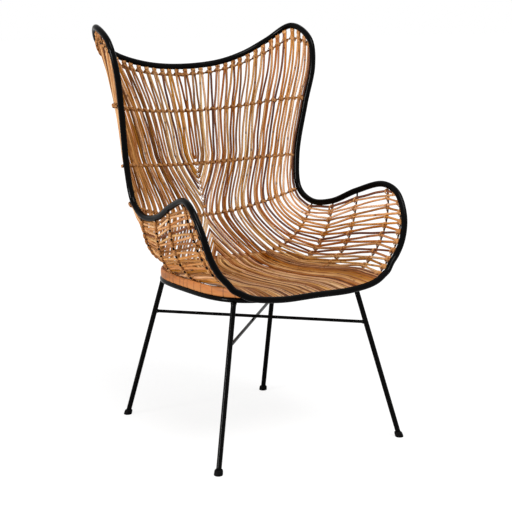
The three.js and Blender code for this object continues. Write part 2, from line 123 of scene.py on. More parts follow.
# The band and its cuts
BAND_STEPS, BAND_SKIP, BAND_SINK, BAND_GAP, BAND_LEAST = 1500, 6, 0.0008, 0.0012, 0.003
CUT_APART, CUT_WIDTH, CUT_MARGIN, CUT_IN, CUT_DOWN = (0.018, 0.046), 0.0016, 0.02, 0.10, 0.05

# A lashing; its spread in strands
LASH_STEPS, LASH_HALF_TURNS, LASH_POWER = 50, 7, 0.6
LASH_SLANT, LASH_SPREAD, LASH_BITE, LASH_PLAY, LASH_UNEVEN = 0.0036, 1.6, 0.0002, 0.0004, 0.0004
# Its sleeve on the rod
SLEEVE_RINGS, SLEEVE_END, SLEEVE_THICK, SLEEVE_RIPPLE, SLEEVE_PAST = 17, -0.0004, 0.0007, 0.00025, 0.0016
# Crossings: least distance from the middle, distance that leaves room for one there, the last
MIDDLE_CLEAR, MIDDLE_ROOM, LAST_CROSSING = 0.0075, 0.008, PAIRS - 0.85

# End ties, and the lacing of the V with its knot
TIE_GAP, TIE_WIDE, TIE_HIGH = 0.001, 0.0006, 0.0008
TIE_RINGS, TIE_SWELL = (0.0, 0.0011, 0.0046, 0.0057), (0.93, 1.0, 1.0, 0.93)
LACE_SPAN, LACE_PITCH, LACE_SWING, LACE_LIFT = (0.296, 0.442), 0.011, 0.0055, 0.0005
KNOT_SPAN, KNOT_WIDE, KNOT_HIGH, KNOT_SWELL = (0.432, 0.441), 0.0075, 0.0052, (0.85, 1.0, 1.05, 1.0, 0.85)

# The camera's place, its turn in degrees and its lens
CAMERA_PLACE, CAMERA_TURN = (-2.059881, -3.173125, 1.182388), (79.44239, -0.26032, -33.44718)
LENS = 98.44

# The middle span of noise
MIDDLE = (0.3, 0.7)


def unit(a):
    """The rows of a, each made one long."""
    return a / np.linalg.norm(a, axis=-1, keepdims=True)


def walked_length(points):
    """Length walked along a line of points up to each of them."""
    return np.r_[0, np.cumsum(np.linalg.norm(np.diff(points, axis=0), axis=1))]


def bell(x, width):
    """The bell curve e to the minus square of x over width."""
    return np.exp(-(x / width) ** 2)


def hoop_at(mark):
    """The closed curve through the hoop's marks: on each span a cubic whose end slopes come from the
    three chords about each mark, weighted by the square roots of their lengths."""
    mark = np.asarray(mark, float)
    i = np.floor(mark).astype(int)
    w = (mark - i)[..., None]
    p = [FULL_HOOP[(i + k) % len(FULL_HOOP)] for k in (-1, 0, 1, 2)]
    d = [np.sqrt(np.linalg.norm(p[k + 1] - p[k], axis=-1, keepdims=True)) for k in range(3)]
    a = ((p[1] - p[0]) / d[0] - (p[2] - p[0]) / (d[0] + d[1]) + (p[2] - p[1]) / d[1]) * d[1]
    b = ((p[2] - p[1]) / d[1] - (p[3] - p[1]) / (d[1] + d[2]) + (p[3] - p[2]) / d[2]) * d[1]
    rise = p[2] - p[1]
    return p[1] + w * (a + w * (3 * rise - 2 * a - b + w * (a + b - 2 * rise)))


def hoop_stretch(start, end):
    """A function that walks the hoop evenly by length from one mark to another as v goes from 0 to 1."""
    marks = np.linspace(start, end, 241)
    walked = walked_length(hoop_at(marks))
    return lambda v: hoop_at(np.interp(np.clip(v, 0, 1) * walked[-1], walked, marks))


TOP_EDGE, FRONT_EDGE = hoop_stretch(0, TIP_MARK), hoop_stretch(FRONT_MARK, CREST_MARK)


def station_at(u):
    """The values of STATIONS at u, joined by cubics whose slope at a row is that of the chord of its
    neighbours."""
    at, values = STATIONS[:, 0], STATIONS[:, 1:]
    last = len(at) - 1
    low, high = [np.clip(np.arange(last + 1) + step, 0, last) for step in (-1, 1)]
    slope = (values[high] - values[low]) / (at[high] - at[low])[:, None]
    i = np.clip(np.searchsorted(at, u) - 1, 0, last - 1)
    w = (at[i + 1] - at[i])[..., None]
    t = (u - at[i])[..., None] / w
    bend = w * ((t ** 3 - 2 * t ** 2 + t) * slope[i] + (t ** 3 - t ** 2) * slope[i + 1])
    return values[i] + (3 * t ** 2 - 2 * t ** 3) * (values[i + 1] - values[i]) + bend


def bezier(t, a, b, c, d):
    """The cubic pulled from a towards b and c and on to d."""
    return (1 - t) ** 3 * a + 3 * t * (1 - t) ** 2 * b + 3 * t * t * (1 - t) * c + t ** 3 * d


def cross_line(u, v):
    """A line across the shell at u: the cubic from its middle to the hoop, walked evenly by length as v
    goes to 1."""
    s = station_at(u)
    middle = np.stack([0 * u, s[..., 0], RING_HEIGHT + s[..., 1]], -1)
    flat = middle + np.stack([s[..., 2], s[..., 4], -s[..., 3]], -1)
    edge = hoop_at(s[..., 5])
    turn = edge + s[..., 6:9]
    steps = 32
    t = np.linspace(0, 1, steps + 1)[:, None]
    points = bezier(t, *[q[..., None, :] for q in (middle, flat, turn, edge)])
    walked = np.cumsum(np.linalg.norm(np.diff(points, axis=-2), axis=-1), -1)
    walked = np.concatenate([np.zeros(walked.shape[:-1] + (1,)), walked], -1)
    want = v * walked[..., -1]
    k = np.clip((walked <= want[..., None]).sum(-1) - 1, 0, steps - 1)
    low, high = [np.take_along_axis(walked, (k + n)[..., None], -1)[..., 0] for n in (0, 1)]
    return bezier(((k + (want - low) / (high - low)) / steps)[..., None], middle, flat, turn, edge)


def shell_at(u, v):
    """The left half of the woven shell: the cross line at u, eased on to the hoop's top edge at its start
    and on to the front edge at its end, by the square of how near it is."""
    u, v = np.broadcast_arrays(np.clip(np.asarray(u, float), 0, 1), np.asarray(v, float))
    top = np.maximum(0, 1 - u / TOP_EASE)[..., None] ** 2
    front = np.maximum(0, 1 - (1 - u) / FRONT_EASE)[..., None] ** 2
    return (cross_line(u, v) + top * (TOP_EDGE(v) - cross_line(0 * u, v))
            + front * (FRONT_EDGE(v) - cross_line(0 * u + 1, v)))


def shell_frame(u, v):
    """Point, inward direction and down-the-cane direction of the shell at u and v; v below 0 is the
    right half."""
    u, v = np.broadcast_arrays(np.asarray(u, float), np.asarray(v, float))
    side, away = np.where(v < 0, -1.0, 1.0)[..., None], np.abs(v)
    step = 0.002
    down = shell_at(u + step, away) - shell_at(u - step, away)
    across = shell_at(u, np.clip(away + step, 0, 1)) - shell_at(u, np.clip(away - step, 0, 1))
    turned = np.concatenate([side, 0 * side + 1, 0 * side + 1], -1)
    return shell_at(u, away) * turned, unit(np.cross(down, across)) * turned, unit(down) * turned


ROW_STEPS = np.linspace(0, 1, 101)
ROW_GRID = shell_at(ROW_STEPS[:, None], np.linspace(0, 1, 61))
ROW_LENGTHS = np.linalg.norm(np.diff(ROW_GRID, axis=1), axis=-1).sum(1)


def row_length(u):
    """Length of the cross line from the middle to the hoop."""
    return np.interp(u, ROW_STEPS, ROW_LENGTHS)


def ease(t):
    """0 to 1 with level ends."""
    t = np.clip(t, 0, 1)
    return t * t * (3 - 2 * t)


def pinch(u):
    """How many pairs have closed at the middle: they close down the back and open again on the seat."""
    turn = [np.clip((u - a) / (b - a), 0, 1) for a, b in (CLOSING, OPENING)]
    return CLOSED_PAIRS * (0.5 * (turn[0] + ease(turn[0])) - 0.5 * (turn[1] + ease(turn[1])))


def pair_place(k, u):
    """Where pair k lies across the shell at u: evenly set but for a shift of its own, a sum of two sine
    waves over the pairs, which dies away on the seat."""
    slow, quick = UNEVEN_WAVES
    shift = UNEVEN * (np.sin(slow * k) + np.sin(quick * k + 1)) * (1 - seat_turn(u))
    return (k + 0.5 + shift - pinch(u)) / (PAIRS + 0.5 - pinch(u))


def weave(u):
    """0 where canes lie in their own pairs, 1 where each lies with its neighbour in the next pair."""
    return np.interp(u, ROWS, [float(row in SWAPPED_ROWS) for row in range(len(ROWS))])


def seat_turn(u):
    """0 at the fifth rod, where the seat begins, 1 from the sixth on, where its canes lie closest."""
    return ease((u - SEAT_START) / (SEAT_FULL - SEAT_START))


def seat_gap(u, gap):
    """Distance between the middles of neighbouring canes on the seat: that of a pair at first, then a
    share of the pairs' spacing, so that pairs and filling canes lie evenly side by side."""
    return gap + seat_turn(u) * (row_length(u) / (PAIRS + 0.5) / SEAT_CANES - gap)


def cane_place(j, u, gap):
    """Where cane j lies across the shell at u; gap is between the middles of the two canes of a pair. On
    the seat the canes stay in their own pairs."""
    k, s = j // 2, 2 * (j % 2) - 1
    seat = (j <= 2 * SEAT_PAIRS) & (u > SEAT_START)
    half = 0.5 * np.where(seat, seat_gap(u, gap), gap) / row_length(u)
    w = np.where(seat, 0.0, weave(u) * np.where(j == 2 * PAIRS - 1, LAST_SWAP, 1.0))
    return (1 - w) * (pair_place(k, u) + s * half) + w * (pair_place(k + s / 2, u) - s * half)


def filler_place(m, u, gap):
    """Where filling cane m lies across the seat at u: the first few beside the middle, then the rest
    between each two pairs, a seat gap apart."""
    k, order = np.divmod(m - MIDDLE_FILLERS, FILLERS)
    one = seat_gap(u, gap) / row_length(u)
    between = pair_place(k + 0.5, u) + (order - 0.5 * (FILLERS - 1)) * one
    return np.where(m < MIDDLE_FILLERS, (m + 0.5) * one, between)


def first_past(u, value):
    """For each row, the u at which value first reaches 0, between the two samples about it."""
    i = np.maximum(np.argmax(value >= 0, axis=-1), 1)[..., None]
    lo, hi = np.take_along_axis(value, i - 1, -1), np.take_along_axis(value, i, -1)
    t = np.clip(-lo / np.where(hi == lo, 1, hi - lo), 0, 1)
    return ((1 - t) * u[i - 1] + t * u[i])[..., 0]


def hoop_ends(place, depth):
    """The two u at which canes whose place across is given leave the hoop and enter it, depth from its
    middle line."""
    line = hoop_at(np.linspace(0, len(FULL_HOOP), 1601))
    ends = []
    for u in (np.linspace(0, 0.12, 121), np.linspace(1, 0.9, 121)):
        points = shell_at(u, place(u))
        far = np.min(np.linalg.norm(points[..., None, :] - line, axis=-1), axis=-1)
        ends.append(first_past(u, far - depth))
    return ends


def round_profile(radius, sides):
    """Points round a circle for each given radius."""
    t = np.arange(sides) * (2 * np.pi / sides)
    return np.asarray(radius)[..., None, None] * np.stack([np.cos(t), np.sin(t)], -1)


def squared(x, power):
    """x with its size raised to the power and its sign kept."""
    return np.sign(x) * np.abs(x) ** power


def oval_profile(half_width, half_height, sides, power):
    """Points round a squared oval: each half size times the cosine or sine to two over the power."""
    t = (np.arange(sides) + 0.5) * (2 * np.pi / sides)
    shape = np.stack([squared(np.cos(t), 2 / power), squared(np.sin(t), 2 / power)], -1)
    return shape * (half_width, half_height)


def rounded_end(away):
    """Share of a cane's radius at so many steps from its end: a quarter circle, then 1."""
    return np.sqrt(np.clip(1 - (1 - np.minimum(away / END_STEPS, 1)) ** 2, END_LEAST, 1))


def add(name, data):
    """A new object in the scene."""
    made = bpy.data.objects.new(name, data)
    bpy.context.scene.collection.objects.link(made)
    return made


class Surface:
    """Points, faces and the values kept on them for one or more swept shapes."""

    def __init__(self):
        self.points, self.quads, self.caps = [], [], []
        self.grain, self.tint, self.groove = [], [], []
        self.count = 0

    def sweep(self, path, up, profile, closed=False, tint=0.5, offset=0.0, groove=0.0, end_plane=None,
              along=None):
        """Sweeps closed profiles along paths. A point is the path's point plus the profile's two numbers
        times the side and up directions there; side is up crossed with the way along. A profile may
        change along the path. With end_plane, the first ring is slid along the path on to the plane
        x = end_plane; along holds every ring square to one direction."""
        path = path[None] if path.ndim == 2 else path
        up = np.broadcast_to(np.asarray(up, float), path.shape)
        shapes, steps = path.shape[:2]
        if along is None:
            along = np.roll(path, -1, 1) - np.roll(path, 1, 1) if closed else np.gradient(path, axis=1)
        along = np.broadcast_to(unit(np.asarray(along, float)), path.shape)
        up = unit(up - (up * along).sum(-1, keepdims=True) * along)
        side = np.cross(up, along)
        profile = np.broadcast_to(profile, (shapes, steps) + profile.shape[-2:])
        around = profile.shape[2]
        points = path[:, :, None] + profile[..., :1] * side[:, :, None] + profile[..., 1:] * up[:, :, None]
        if end_plane is not None:
            slide = (end_plane - points[:, 0, :, 0]) / along[:, 0, None, 0]
            points[:, 0] += slide[..., None] * along[:, 0, None, :]
        index = self.count + np.arange(shapes * steps * around).reshape(shapes, steps, around)
        if closed:
            index = np.concatenate([index, index[:, :1]], 1)
        grid = np.concatenate([index, index[:, :, :1]], 2)
        quads = [grid[:, :-1, :-1], grid[:, :-1, 1:], grid[:, 1:, 1:], grid[:, 1:, :-1]]
        walked = np.cumsum(np.linalg.norm(np.diff(path, axis=1, prepend=path[:, :1]), axis=-1), 1)
        angle = np.arange(around) * (2 * np.pi / around)
        values = (walked[:, :, None] + np.reshape(offset, (-1, 1, 1)), np.cos(angle), np.sin(angle),
                  np.reshape(tint, (-1, 1, 1)), np.reshape(groove, (1, -1, 1)))
        *grain, shade, cut = [np.broadcast_to(value, points.shape[:3]) for value in values]
        self.points.append(points.reshape(-1, 3))
        self.quads.append(np.stack(quads, -1).reshape(-1, 4))
        self.grain.append(np.stack(grain, -1).reshape(-1, 3))
        self.tint.append(shade.ravel())
        self.groove.append(cut.ravel())
        if not closed:
            self.caps.append(np.concatenate([index[:, 0, ::-1], index[:, -1]]))
        self.count += points.size // 3
        return self

    def piece(self, name, skin, slot, nodes=()):
        """Makes the mesh object, lets it ride on the chair and hides the CAD nodes it stands for."""
        points = np.concatenate(self.points)
        faces = [np.concatenate(self.quads)] + self.caps
        sizes = np.concatenate([np.full(len(f), f.shape[1]) for f in faces])
        loops = np.concatenate([f.ravel() for f in faces])
        mesh = bpy.data.meshes.new(name)
        mesh.vertices.add(len(points))
        mesh.vertices.foreach_set("co", points.astype(np.float32).ravel())
        mesh.loops.add(len(loops))
        mesh.loops.foreach_set("vertex_index", loops.astype(np.int32))
        mesh.polygons.add(len(sizes))
        mesh.polygons.foreach_set("loop_start", np.r_[0, np.cumsum(sizes)[:-1]].astype(np.int32))
        mesh.polygons.foreach_set("use_smooth", np.ones(len(sizes), bool))
        for kind, label, field, values in (("FLOAT_VECTOR", "grain", "vector", self.grain),
                                           ("FLOAT", "tint", "value", self.tint),
                                           ("FLOAT", "groove", "value", self.groove)):
            data = mesh.attributes.new(label, kind, "POINT").data
            data.foreach_set(field, np.concatenate(values).astype(np.float32).ravel())
        mesh.update(calc_edges=True)
        mesh.materials.append(material(skin))
        made = add(name, mesh)
        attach(made, "root")
        if nodes:
            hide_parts(*nodes)


def length_property(label, text, default):
    """A size in metres."""
    return bpy.props.FloatProperty(name=label, description=text, default=default, min=0.0, unit="LENGTH",
                                   subtype="DISTANCE", precision=4)


def colour_property(label, text, default):
    """A linear colour."""
    return bpy.props.FloatVectorProperty(name=label, description=text, default=default, size=3, min=0.0,
                                         max=1.0, subtype="COLOR")


class CaneChairFrame(bpy.types.PropertyGroup):
    """Sizes of the black tube frame."""

    hoop_diameter: length_property("Hoop tube", "Diameter of the outer hoop's tube", 0.017)
    ring_diameter: length_property("Ring tube", "Diameter of the base ring's tube", 0.014)
    leg_diameter: length_property("Leg tube", "Diameter of a leg", 0.014)
    stretcher_diameter: length_property("Stretcher", "Diameter of a stretcher rod", 0.0086)
    stretcher_height: length_property("Stretcher height", "Height of the stretchers' crossing", 0.314)
    rod_diameter: length_property("Cross rod", "Diameter of a cross rod behind the canes", 0.0046)
    foot_diameter: length_property("Foot cap", "Diameter of a foot cap", 0.023)
    foot_height: length_property("Foot cap height", "Height of a foot cap", 0.015)


class CaneChairCane(bpy.types.PropertyGroup):
    """Sizes of the woven cane."""

    cane_diameter: length_property("Cane", "Diameter of one cane", 0.0065)
    cane_spacing: length_property("Cane spacing", "Distance between the middles of lashed canes", 0.0063)
    wander: length_property("Wander", "How far a cane strays from its line", 0.0008)
    strand_diameter: length_property("Strand", "Diameter of the split cane of the lashings", 0.0020)
    band_thickness: length_property("Band thickness", "Thickness of the bent band under the seat", 0.009)
    band_height: length_property("Band height", "Most height of the bent band under the seat", 0.024)
    seed: bpy.props.IntProperty(name="Seed", description="Starts the chance in the canes", default=7)


class CaneChairFinish(bpy.types.PropertyGroup):
    """Colours of the chair."""

    metal: colour_property("Black metal", "Lacquer of the tube frame", (0.0011, 0.0010, 0.0010))
    rubber: colour_property("Rubber", "Foot caps", (0.0022, 0.0021, 0.0021))
    cane_dark: colour_property("Dark cane", "The darkest canes", (0.105, 0.030, 0.007))
    cane_brown: colour_property("Brown cane", "The brown canes", (0.250, 0.085, 0.020))
    cane_tan: colour_property("Tan cane", "The tan canes", (0.440, 0.190, 0.060))
    cane_pale: colour_property("Pale cane", "The palest canes", (0.680, 0.400, 0.185))
    # This dark colour is used for the canes' real dark joints and also as painted shade in the band's cuts
    joint_and_groove_shade: colour_property("Cane joint", "The dark ring at a joint of a cane", (0.075, 0.026, 0.010))
    strand: colour_property("Split cane", "The lashings", (0.380, 0.155, 0.043))
    band: colour_property("Bent cane", "The band under the seat", (0.430, 0.150, 0.040))


def node(tree, kind, inputs=(), **settings):
    """A shader node; an input is a plain value or another node's output."""
    made = tree.nodes.new(kind)
    for key, value in settings.items():
        setattr(made, key, value)
    for key, value in dict(inputs).items():
        if isinstance(value, bpy.types.NodeSocket):
            tree.links.new(value, made.inputs[key])
        else:
            made.inputs[key].default_value = value
    return made


def colour(rgb):
    """A colour with full opacity."""
    return (*rgb, 1.0)


def ramp(tree, factor, stops):
    """A colour ramp through the given places and colours."""
    made = node(tree, "ShaderNodeValToRGB", {"Fac": factor})
    elements = made.color_ramp.elements
    while len(elements) < len(stops):
        elements.new(0.5)
    for element, (place, rgb) in zip(elements, stops):
        element.position, element.color = place, colour(rgb)
    return made.outputs["Color"]


def spread(tree, value, source, target):
    """The value taken from the source span to the target span and held at its ends."""
    return node(tree, "ShaderNodeMapRange", {
        "Value": value, "From Min": source[0], "From Max": source[1],
        "To Min": target[0], "To Max": target[1]}).outputs["Result"]


def sums(tree, operation, a, b):
    """One sum of two values."""
    return node(tree, "ShaderNodeMath", {0: a, 1: b}, operation=operation).outputs["Value"]


def blend(tree, factor, a, b):
    """Colour a turned to colour b by the factor."""
    return node(tree, "ShaderNodeMix", {"Factor": factor, 6: a, 7: b}, data_type="RGBA").outputs[2]


def kept(tree, label, output="Fac"):
    """A value that the mesh keeps on its points."""
    return node(tree, "ShaderNodeAttribute", attribute_name=label).outputs[output]


def noise(tree, place, scale, detail):
    """Plain noise at a place."""
    made = node(tree, "ShaderNodeTexNoise", {"Vector": place, "Scale": scale, "Detail": detail})
    return made.outputs["Fac"]


def streaks(tree, stretch, scale, detail=4.0):
    """Noise drawn out along the cane."""
    placed = node(tree, "ShaderNodeMapping", {"Vector": kept(tree, "grain", "Vector"), "Scale": stretch})
    return noise(tree, placed.outputs["Vector"], scale, detail)


def finish_skin(tree, skin, body, roughness, specular, height, strength, depth):
    """Gives a shader its colour, roughness, gloss and a bump of the given height, strength and depth."""
    bump = node(tree, "ShaderNodeBump", {"Height": height, "Strength": strength, "Distance": depth})
    tree.links.new(body, skin.inputs["Base Color"])
    tree.links.new(roughness, skin.inputs["Roughness"])
    tree.links.new(bump.outputs["Normal"], skin.inputs["Normal"])
    skin.inputs["Specular IOR Level"].default_value = specular


def cane_skin(tree, skin, finish):
    """Peeled cane: a shade of its own for each cane, long fibres, blotches along it, dark joints and a
    worn skin."""
    fibre, blotch = streaks(tree, (16, 1.3, 1.3), 2.0), streaks(tree, (9, 0.25, 0.25), 1.0, 2.0)
    shade = kept(tree, "tint")
    tone = sums(tree, "ADD", shade, spread(tree, fibre, (0.25, 0.75), (-0.26, 0.26)))
    tone = sums(tree, "ADD", tone, spread(tree, blotch, MIDDLE, (-0.2, 0.2)))
    body = ramp(tree, tone, ((0.0, finish.cane_dark), (0.3, finish.cane_brown), (0.62, finish.cane_tan),
                             (1.0, finish.cane_pale)))
    hue, strength = [sums(tree, "FRACT", sums(tree, "MULTIPLY", shade, times), 0.0) for times in (37.0, 91.0)]
    body = node(tree, "ShaderNodeHueSaturation", {
        "Hue": spread(tree, hue, (0, 1), (0.493, 0.510)),
        "Saturation": spread(tree, strength, (0, 1), (0.90, 1.10)), "Color": body}).outputs["Color"]
    along = node(tree, "ShaderNodeSeparateXYZ", {"Vector": kept(tree, "grain", "Vector")}).outputs["X"]
    joints = node(tree, "ShaderNodeTexVoronoi", {"W": along, "Scale": 2.6}, voronoi_dimensions="1D")
    ring = spread(tree, joints.outputs["Distance"], (0.004, 0.014), (0.6, 0.0))
    body = blend(tree, ring, body, colour(finish.joint_and_groove_shade))
    finish_skin(tree, skin, body, roughness=spread(tree, fibre, MIDDLE, (0.34, 0.56)), specular=0.15,
                height=sums(tree, "ADD", fibre, ring), strength=0.35, depth=0.0004)


def strand_skin(tree, skin, finish):
    """Split cane: a dull strip with fibres along it and browner stretches."""
    fibre, blotch = streaks(tree, (20, 1.6, 1.6), 2.0), streaks(tree, (34, 0.4, 0.4), 1.0, 2.0)
    tone = sums(tree, "ADD", fibre, spread(tree, blotch, MIDDLE, (-0.25, 0.25)))
    body = ramp(tree, tone, ((0.15, finish.cane_dark), (0.45, finish.strand), (0.9, finish.cane_pale)))
    finish_skin(tree, skin, body, roughness=spread(tree, fibre, MIDDLE, (0.5, 0.72)), specular=0.15,
                height=fibre, strength=0.4, depth=0.0003)


def band_skin(tree, skin, finish):
    """Bent cane pole: a reddish skin with fine grain round it, and painted shade that darkens its grooves."""
    fibre, blotch = streaks(tree, (26, 2.2, 2.2), 1.6), streaks(tree, (7, 0.5, 0.5), 1.0, 2.0)
    tone = sums(tree, "ADD", fibre, spread(tree, blotch, MIDDLE, (-0.34, 0.34)))
    body = ramp(tree, tone, ((0.1, finish.cane_brown), (0.5, finish.band), (0.95, finish.cane_tan)))
    # Painted shade: the band is darkened towards the dark joint colour in its cuts, where shade falls
    cut = spread(tree, kept(tree, "groove"), (0.1, 0.9), (0.0, 0.6))
    body = blend(tree, cut, body, colour(finish.joint_and_groove_shade))
    finish_skin(tree, skin, body, roughness=spread(tree, fibre, MIDDLE, (0.42, 0.6)), specular=0.2,
                height=fibre, strength=0.3, depth=0.0004)


def coat(tree, skin, rgb, rough, specular, grit):
    """A dark coat: fine pimples, a roughness that drifts, and faintly rubbed, paler patches."""
    place = node(tree, "ShaderNodeTexCoord").outputs["Object"]
    fine, drift = noise(tree, place, grit, 3.0), noise(tree, place, 14.0, 5.0)
    rubbed = [min(1.0, 2.4 * c + 0.002) for c in rgb]
    body = ramp(tree, drift, ((0.3, rgb), (0.62, rgb), (0.8, rubbed)))
    finish_skin(tree, skin, body, roughness=spread(tree, drift, MIDDLE, (rough - 0.06, rough + 0.08)),
                specular=specular, height=fine, strength=0.12, depth=0.0003)


def lacquer_skin(tree, skin, finish):
    """Satin black lacquer on steel."""
    coat(tree, skin, finish.metal, rough=0.15, specular=0.045, grit=900.0)


def rubber_skin(tree, skin, finish):
    """Moulded black rubber."""
    coat(tree, skin, finish.rubber, rough=0.55, specular=0.04, grit=1400.0)


SKINS = {"peeled_cane": cane_skin, "split_cane": strand_skin, "bent_pole_skin": band_skin,
         "black_lacquer": lacquer_skin, "moulded_rubber": rubber_skin}


def material(name):
    """The named material, made when it is first asked for."""
    made = bpy.data.materials.get(name)
    if not made:
        made = bpy.data.materials.new(name)
        made.use_nodes = True
        tree = made.node_tree
        SKINS[name](tree, tree.nodes["Principled BSDF"], bpy.context.scene.cane_chair_finish)
    return made


def ring_at(angle):
    """The base ring's middle line: a squared oval, each half size times cosine or sine to two over its
    squareness."""
    power = 2 / RING_SQUARENESS
    return np.stack([RING_HALF_WIDTH * squared(np.cos(angle), power),
                     RING_MIDDLE + RING_HALF_DEPTH * squared(np.sin(angle), power),
                     0 * angle + RING_HEIGHT], -1)


def even_ring(steps):
    """The ring's line in even steps of length."""
    dense = ring_at(np.linspace(0, 2 * np.pi, 8001))
    walked = walked_length(dense)
    want = np.linspace(0, walked[-1], steps, endpoint=False)
    return np.stack([np.interp(want, walked, dense[:, i]) for i in range(3)], -1)


def leg_line(name, t):
    """The straight line of a leg from the floor at t = 0 to the ring's middle at t = 1."""
    foot, (top_x, end) = LEGS[name]
    ratio = abs(top_x) / RING_HALF_WIDTH
    top_y = RING_MIDDLE + end * RING_HALF_DEPTH * (1 - ratio ** RING_SQUARENESS) ** (1 / RING_SQUARENESS)
    top = np.array((top_x, top_y, RING_HEIGHT))
    return np.array((*foot, 0.0)) + np.asarray(t)[..., None] * (top - (*foot, 0.0))


class PieceOperator:
    """What every piece's operator shares."""

    bl_options = {"REGISTER", "UNDO"}

    @property
    def sizes(self):
        """Sizes of the tube frame."""
        return bpy.context.scene.cane_chair_frame

    @property
    def cane(self):
        """Sizes of the cane."""
        return bpy.context.scene.cane_chair_cane

    def rod_depth(self):
        """How far outside the canes' middle the middle of a cross rod lies."""
        return 0.5 * self.cane.cane_diameter + ROD_GAP + 0.5 * self.sizes.rod_diameter


class CANECHAIR_OT_hoop(PieceOperator, bpy.types.Operator):
    """Make the bent tube that edges the back, wings, arms and seat"""

    bl_idname = "cane_chair.hoop"
    bl_label = "Outer hoop"

    def execute(self, context):
        """A circle swept along the hoop's closed curve, with a small jog at each front corner: a bell curve
        on the seat's side of it less half of one on the arm's side."""
        marks = np.linspace(0, FRONT_MARK, 721)
        half = hoop_at(marks)
        along = unit(np.gradient(half, axis=0))
        walked = walked_length(half)
        past = walked - np.interp(CORNER_MARK, marks, walked)
        jog = bell(past - JOG_OUT, JOG_WIDTH) - 0.5 * bell(past - JOG_IN, JOG_WIDTH)
        half = half + JOG_DEPTH * jog[:, None] * unit(np.cross(along, (0, 1, 0)))
        line = np.concatenate([half, half[-2:0:-1] * (-1, 1, 1)])
        shape = round_profile(0.5 * self.sizes.hoop_diameter, 24)
        Surface().sweep(line, line - MIDST, shape, closed=True).piece(
            "outer_hoop", "black_lacquer", "black_metal", ("outer_hoop_left", "outer_hoop_right"))
        return {"FINISHED"}


class CANECHAIR_OT_ring(PieceOperator, bpy.types.Operator):
    """Make the bent tube under the seat"""

    bl_idname = "cane_chair.ring"
    bl_label = "Base ring"

    def execute(self, context):
        """A circle swept along the squared oval of the ring."""
        shape = round_profile(0.5 * self.sizes.ring_diameter, 24)
        Surface().sweep(even_ring(420), (0, 0, 1), shape, closed=True).piece(
            "ring_tube", "black_lacquer", "black_metal", ("base_ring",))
        return {"FINISHED"}


class CANECHAIR_OT_legs(PieceOperator, bpy.types.Operator):
    """Make the four splayed legs with the weld at their tops"""

    bl_idname = "cane_chair.legs"
    bl_label = "Legs"

    def execute(self, context):
        """A circle swept along each leg, wider in a bead where it meets the ring."""
        t = np.r_[np.linspace(0.02, 0.95, 40), np.linspace(0.955, 0.99, 15)]
        bead = LEG_BEAD * bell((1 - t) * RING_HEIGHT - LEG_BEAD_DROP, LEG_BEAD_WIDTH)
        shape = round_profile(0.5 * self.sizes.leg_diameter + bead, 28)
        for name in LEGS:
            Surface().sweep(leg_line(name, t), (0, 1, 0), shape).piece(
                "leg_tube_" + name, "black_lacquer", "black_metal", ("leg_" + name,))
        return {"FINISHED"}


class CANECHAIR_OT_feet(PieceOperator, bpy.types.Operator):
    """Make the four rubber foot caps"""

    bl_idname = "cane_chair.feet"
    bl_label = "Foot caps"

    def execute(self, context):
        """A profile of radius over height turned about the leg's line: rounded foot, plain wall, rounded
        shoulder."""
        wide, narrow = 0.5 * self.sizes.foot_diameter, SHOULDER_TOP * self.sizes.leg_diameter
        curve = np.linspace(0, 0.5 * np.pi, 7)
        foot = np.stack([wide - FOOT_ROUND * (1 - np.sin(curve)), FOOT_ROUND * (1 - np.cos(curve))], -1)
        wall = np.array([(wide - inset, height) for inset, height in FOOT_WALL])
        rise = SHOULDER_HEIGHT + (self.sizes.foot_height - SHOULDER_HEIGHT) * np.sin(curve)
        shoulder = np.stack([narrow + (wide - SHOULDER_INSET - narrow) * np.cos(curve), rise], -1)
        outline = np.concatenate([foot, wall, shoulder])
        for name in LEGS:
            line = leg_line(name, outline[:, 1] / RING_HEIGHT)
            Surface().sweep(line, (0, 1, 0), round_profile(outline[:, 0], 32), along=(0, 0, 1)).piece(
                "cap_" + name, "moulded_rubber", "foot_rubber", ("foot_" + name,))
        return {"FINISHED"}


class CANECHAIR_OT_stretchers(PieceOperator, bpy.types.Operator):
    """Make the two crossed rods between the legs"""

    bl_idname = "cane_chair.stretchers"
    bl_label = "Stretchers"

    def execute(self, context):
        """A circle swept from leg to leg, wider in a bead at each weld."""
        half = 0.5 * self.sizes.stretcher_diameter + COAT
        t = np.r_[0, np.linspace(0.004, 0.03, 14), np.linspace(0.05, 0.95, 19),
                  np.linspace(0.97, 0.996, 14), 1]
        for name, ends, lift in (("upper", ("rear_right", "front_left"), half),
                                 ("lower", ("front_right", "rear_left"), -half)):
            height = (self.sizes.stretcher_height + lift) / RING_HEIGHT
            a, b = [leg_line(end, height) for end in ends]
            reach = np.minimum(t, 1 - t) * np.linalg.norm(b - a)
            bead = ROD_BEAD * bell(reach - 0.5 * self.sizes.leg_diameter, ROD_BEAD_WIDTH)
            Surface().sweep(a + t[:, None] * (b - a), (0, 0, 1), round_profile(half + bead, 20)).piece(
                "stretcher_rod_" + name, "black_lacquer", "black_metal", ("stretcher_" + name,))
        return {"FINISHED"}


